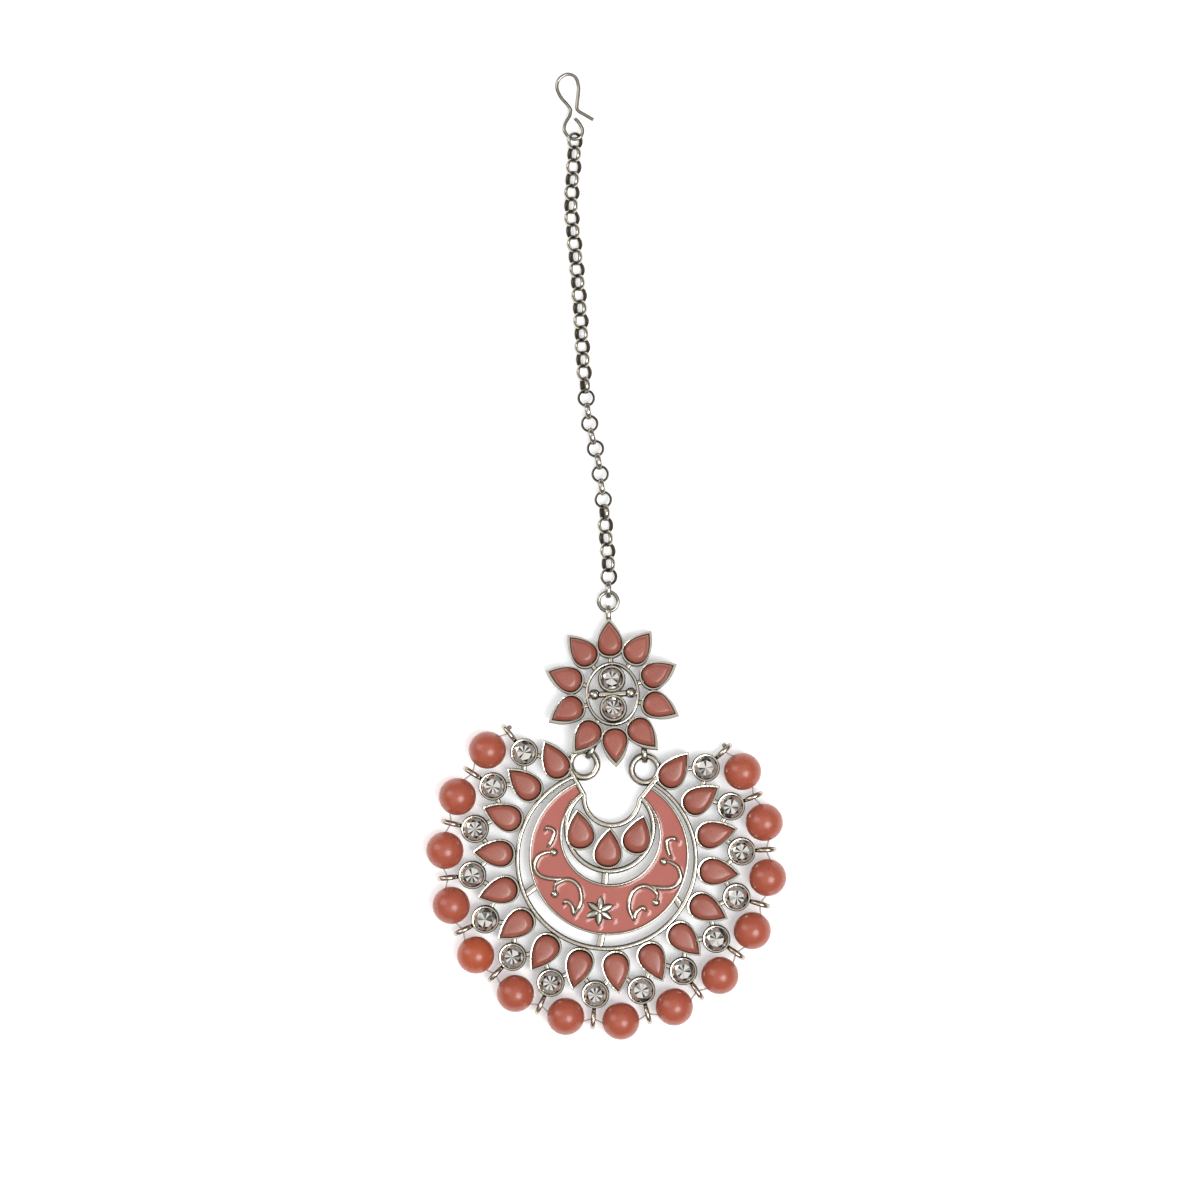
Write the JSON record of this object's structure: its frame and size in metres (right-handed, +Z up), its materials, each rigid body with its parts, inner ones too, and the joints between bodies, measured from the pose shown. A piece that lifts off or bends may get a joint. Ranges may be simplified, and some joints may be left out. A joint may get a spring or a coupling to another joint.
{
  "type": "maang tikka",
  "caption": "Forehead pendant lying flat: an S-hook on a link chain, a rosette of pear stones and a crescent with enamel, set stones and a strung row of round beads.",
  "frame": {"origin": "under the middle of the whole, on the surface it lies on", "axes": "+Y from the pendant to the hook, +X to the right seen from above, +Z up from the surface it lies on"},
  "size_m": [0.0562, 0.1514, 0.0059],
  "materials": {
    "silver": "bright cast silver plate, slightly warm, darkened in the recesses",
    "coral_stone": "opaque resin, glossy",
    "coral_bead": "slightly translucent resin, glossy",
    "enamel": "glossy cold enamel",
    "crystal": "clear cut, foil backed",
    "thread": "fine thread, plain"
  },
  "bodies": {
    "root": {"hook": "silver", "chain": "silver", "jump_ring": "silver", "rosette_frame": "silver", "rosette_pear_01": "coral_stone", "rosette_pear_02": "coral_stone", "rosette_pear_03": "coral_stone", "rosette_pear_04": "coral_stone", "rosette_pear_05": "coral_stone", "rosette_pear_06": "coral_stone", "rosette_pear_07": "coral_stone", "rosette_pear_08": "coral_stone", "rosette_pear_09": "coral_stone", "rosette_pear_10": "coral_stone", "rosette_crystal_upper": "crystal", "rosette_crystal_lower": "crystal", "pendant_frame": "silver", "enamel_crescent": "enamel", "inner_pear_left": "coral_stone", "inner_pear_middle": "coral_stone", "inner_pear_right": "coral_stone", "border_pear_01": "coral_stone", "border_pear_02": "coral_stone", "border_pear_03": "coral_stone", "border_pear_04": "coral_stone", "border_pear_05": "coral_stone", "border_pear_06": "coral_stone", "border_pear_07": "coral_stone", "border_pear_08": "coral_stone", "border_pear_09": "coral_stone", "border_pear_10": "coral_stone", "border_pear_11": "coral_stone", "border_pear_12": "coral_stone", "border_pear_13": "coral_stone", "border_pear_14": "coral_stone", "border_pear_15": "coral_stone", "border_pear_16": "coral_stone", "bead_01": "coral_bead", "bead_02": "coral_bead", "bead_03": "coral_bead", "bead_04": "coral_bead", "bead_05": "coral_bead", "bead_06": "coral_bead", "bead_07": "coral_bead", "bead_08": "coral_bead", "bead_09": "coral_bead", "bead_10": "coral_bead", "bead_11": "coral_bead", "bead_12": "coral_bead", "bead_13": "coral_bead", "bead_14": "coral_bead", "bead_thread": "thread"}
  },
  "joints": []
}
